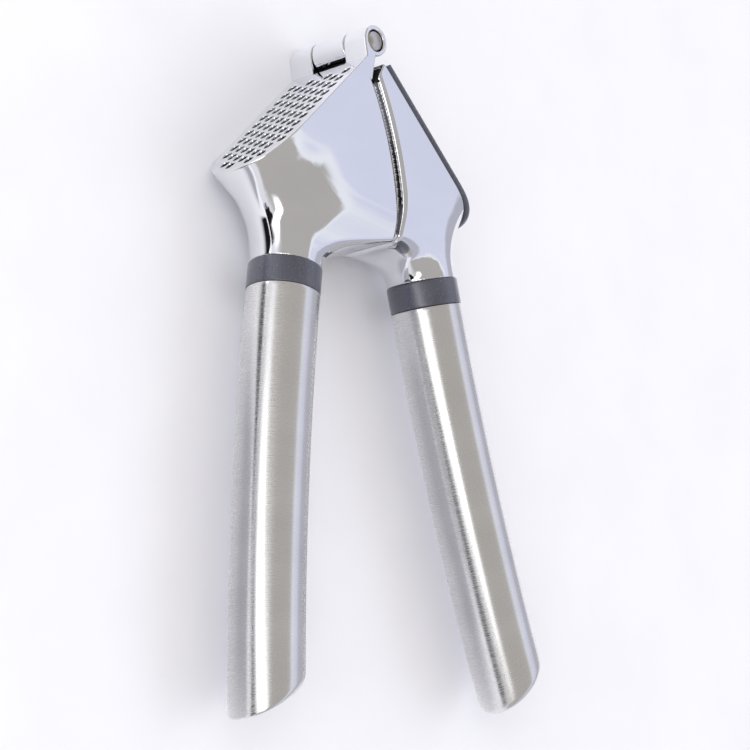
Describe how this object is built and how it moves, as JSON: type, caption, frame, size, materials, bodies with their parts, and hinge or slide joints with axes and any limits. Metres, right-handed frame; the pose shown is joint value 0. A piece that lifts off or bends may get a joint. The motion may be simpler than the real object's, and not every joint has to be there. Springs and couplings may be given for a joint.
{
  "type": "garlic press",
  "caption": "Hinged hand press that squeezes garlic through a perforated plate, with a cleaner on the arm's back.",
  "frame": {"origin": "middle of the underside of the whole press, closed and lying on one cheek", "axes": "+X from the hinge towards the handle ends, midway between the handles; +Z along the hinge axis; +Y towards the press arm"},
  "size_m": [0.1898, 0.116, 0.029],
  "materials": {
    "chrome": "mirror-bright plated casting",
    "brushed_steel": "satin, with a fine grain running round the handle",
    "bare_steel": "turned and bright",
    "grey_plastic": "satin slate grey, moulded",
    "core_plastic": "plain moulded filling"
  },
  "bodies": {
    "basket_side": {"basket_arm": "chrome", "hinge_pin": "bare_steel", "basket_collar": "grey_plastic", "basket_core": "core_plastic", "basket_tang_washer": "bare_steel", "basket_tang_screw": "bare_steel", "basket_tube": "brushed_steel", "basket_tail_cap": "brushed_steel"},
    "press_side": {"press_arm": "chrome", "plunger": "chrome", "plunger_screw_upper": "bare_steel", "plunger_screw_lower": "bare_steel", "cleaner_plate": "grey_plastic", "press_collar": "grey_plastic", "press_core": "core_plastic", "press_tang_washer": "bare_steel", "press_tang_screw": "bare_steel", "press_tube": "brushed_steel", "press_tail_cap": "brushed_steel"}
  },
  "joints": [
    {"name": "press_hinge", "type": "hinge", "parent": "basket_side", "child": "press_side", "pos_m": [-0.09048, 0.0013, 0.0145], "axis": [0, 0, 1], "range_deg": [0, 270]}
  ]
}
